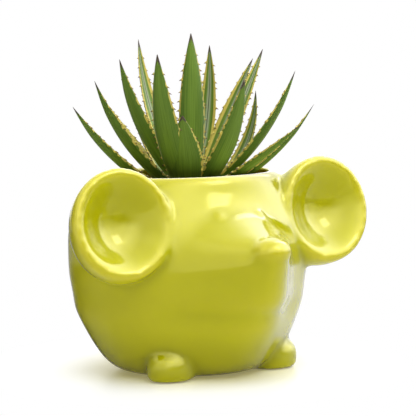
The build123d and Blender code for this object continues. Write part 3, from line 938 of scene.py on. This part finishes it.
# Prickles: hooked teeth along the horny margins, a few millimetres apart. Each stands on a small
# yellow swelling of the margin and is brown, dry and nearly matt above it.
PRICKLE_HEIGHT = 1.9 * MM
PRICKLE_HALF = 0.85 * MM
PRICKLE_PITCH = 4.4 * MM
PRICKLE_START = 0.12
PRICKLE_RUN = 0.78
PRICKLE_FOOT_SHARE = 1.5
PRICKLE_TIP_SHARE = 0.06
PRICKLE_HOOK = 0.9 * PRICKLE_HALF
PRICKLE_PINCH = 0.45
PRICKLE_FLATNESS = 0.42
PRICKLE_SEAT = 0.97
HORN_GRAIN_SIZE = 1.11 * MM
PRICKLE_BROWN = "5E3A20"
horn, tree = new_material("dry_brown_prickle")
rise = add_node(tree, "ShaderNodeAttribute", {"attribute_name": "rise"})
place = add_node(tree, "ShaderNodeTexCoord")
grain = add_node(tree, "ShaderNodeTexNoise", {}, {
    "Vector": place.outputs["Object"], "Scale": 1 / HORN_GRAIN_SIZE, "Detail": 2.0})
browned = add_node(tree, "ShaderNodeMath", {"operation": "MULTIPLY_ADD"}, {
    0: grain.outputs["Fac"], 1: 0.3, 2: rise.outputs["Fac"]})
horn_tone = add_node(tree, "ShaderNodeValToRGB", {}, {"Fac": browned.outputs[0]})
horn_tone.color_ramp.elements[0].color = linear(LEAF_MARGIN)
horn_tone.color_ramp.elements[0].position = 0.35
horn_tone.color_ramp.elements[1].color = linear(PRICKLE_BROWN)
horn_tone.color_ramp.elements[1].position = 0.6
horn_shader = add_node(tree, "ShaderNodeBsdfPrincipled", {}, {
    "Base Color": horn_tone.outputs["Color"], "Roughness": 0.5})
finish_material(tree, horn_shader.outputs[0])

tooth = bmesh.new()
rises = tooth.verts.layers.float.new("rise")
bmesh.ops.create_cone(
    tooth, cap_ends=True, segments=6, radius1=PRICKLE_HALF * PRICKLE_FOOT_SHARE,
    radius2=PRICKLE_HALF * PRICKLE_TIP_SHARE, depth=PRICKLE_HEIGHT)
bmesh.ops.translate(tooth, verts=tooth.verts, vec=(0, 0, PRICKLE_HEIGHT / 2))
flanks = [
    edge for edge in tooth.edges
    if abs(edge.verts[0].co.z - edge.verts[1].co.z) > PRICKLE_HEIGHT / 2
]
bmesh.ops.subdivide_edges(tooth, edges=flanks, cuts=2)
for vert in tooth.verts:
    level = vert.co.z / PRICKLE_HEIGHT
    pinch = 1.0 - PRICKLE_PINCH * math.sin(math.pi * level)
    vert.co.x = vert.co.x * pinch - PRICKLE_HOOK * level * level
    vert.co.y *= PRICKLE_FLATNESS * pinch
    vert[rises] = level
tooth_mesh = bpy.data.meshes.new("tooth")
tooth.to_mesh(tooth_mesh)
tooth.free()
shape = bmesh.new()
for line, width, length in leaves:
    count = int(length * PRICKLE_RUN / PRICKLE_PITCH)
    for side in (-1, 1):
        for number in range(count):
            place_in_row = number + 0.5 + random.uniform(-0.25, 0.25)
            level = PRICKLE_START + PRICKLE_RUN * place_in_row / count
            size = random.uniform(0.75, 1.15) * (1.0 - 0.35 * level)
            spot, ahead, sideways, outwards = line[round(level * STEPS_ALONG)]
            edge = spot + sideways * side * width * blade_width(level) / 2 * PRICKLE_SEAT
            stand = Matrix((ahead, outwards, sideways * side)).transposed().to_4x4()
            before = len(shape.verts)
            shape.from_mesh(tooth_mesh)
            shape.verts.ensure_lookup_table()
            bmesh.ops.transform(
                shape, matrix=Matrix.Translation(edge) @ stand @ Matrix.Scale(size, 4),
                verts=shape.verts[before:])
bmesh.ops.recalc_face_normals(shape, faces=shape.faces)
prickles = new_piece("margin_prickles", shape, horn)
prickles.visible_glossy = False
bpy.data.meshes.remove(tooth_mesh)
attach(prickles, "plant")


# Crown: the short pale stem that the leaves grip, ringed by the scars and husks of old leaves,
# and on it the bud of new leaves, still furled round one another to a point.
HUSK_BROWN = "8C7A4E"
HUSK_PALE = "D8DCAE"
HUSK_GRAIN = 0.7 * MM
HUSK_PITCH = 2.2 * MM
HUSK_DEPTH = 0.35 * MM
HUSK_STREAK_SIZE = 4.17 * MM
crown_skin, tree = new_material("pale_leaf_base_husk")
place = add_node(tree, "ShaderNodeTexCoord")
husk = add_node(tree, "ShaderNodeTexNoise", {}, {
    "Vector": place.outputs["Object"], "Scale": 1 / HUSK_STREAK_SIZE, "Detail": 3.0})
husk_tone = add_node(tree, "ShaderNodeMix", {"data_type": "RGBA"}, {
    "Factor": husk.outputs["Fac"], 6: linear(HUSK_BROWN), 7: linear(HUSK_PALE)})
husk_shader = add_node(tree, "ShaderNodeBsdfPrincipled", {}, {
    "Base Color": husk_tone.outputs[2], "Roughness": 0.6})
finish_material(tree, husk_shader.outputs[0])
stem_top = crown_low.z + CROWN_HEIGHT
shape = merged_copy("agave_crown")
bmesh.ops.bisect_plane(
    shape, geom=shape.verts[:] + shape.edges[:] + shape.faces[:], plane_co=(0, 0, stem_top),
    plane_no=(0, 0, 1), clear_outer=True)
bmesh.ops.holes_fill(shape, edges=[edge for edge in shape.edges if edge.is_boundary])
crown = new_piece("crown_stem", shape, crown_skin)
remesh(crown, HUSK_GRAIN)
shape = bmesh.new()
shape.from_mesh(crown.data)
shape.normal_update()
for vert in shape.verts:
    ring = 0.5 + 0.5 * math.cos(math.tau * (vert.co.z - crown_low.z) / HUSK_PITCH)
    vert.co -= vert.normal * HUSK_DEPTH * ring
shape.to_mesh(crown.data)
shape.free()
crown.data.materials.clear()
crown.data.materials.append(crown_skin)

# Furled bud: a few young leaves rolled into a cone, each edge lapped over the next and turning up
BUD_RADIUS = 4.2 * MM
BUD_TIP_RADIUS = 0.5 * MM
BUD_LEAVES = 3
BUD_TURNS = 0.45
BUD_LAP = 0.16
BUD_STEPS_ROUND = 48
BUD_STEPS_UP = 40
BUD_FOOT_LEVEL = 0.25
BUD_PATTERN = 1.3
shape = bmesh.new()
layers = [shape.verts.layers.float.new(key) for key in LEAF_TRAITS]
furled = bmesh.ops.create_grid(
    shape, x_segments=BUD_STEPS_ROUND, y_segments=BUD_STEPS_UP, size=0.5)
for vert in furled["verts"]:
    turn, level = vert.co.x + 0.5, vert.co.y + 0.5
    lap = (turn * BUD_LEAVES + level * BUD_TURNS * BUD_LEAVES) % 1.0
    radius = BUD_RADIUS + (BUD_TIP_RADIUS - BUD_RADIUS) * level
    radius *= 1.0 - BUD_LAP * lap
    length_share = BUD_FOOT_LEVEL + (1.0 - BUD_FOOT_LEVEL) * level
    for key, value in zip(layers, (2 * lap - 1, length_share, 0.0, BUD_PATTERN)):
        vert[key] = value
    angle = math.tau * turn
    height = stem_top + (crown_high.z - stem_top) * level
    vert.co = (radius * math.cos(angle), radius * math.sin(angle), height)
bmesh.ops.remove_doubles(shape, verts=shape.verts, dist=0.005 * MM)
bmesh.ops.holes_fill(shape, edges=[edge for edge in shape.edges if edge.is_boundary])
bmesh.ops.recalc_face_normals(shape, faces=shape.faces)
bud = new_piece("furled_bud", shape, leaf_skin)
bud.visible_glossy = False
for part in (crown, bud):
    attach(part, "plant")
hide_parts("agave_crown")
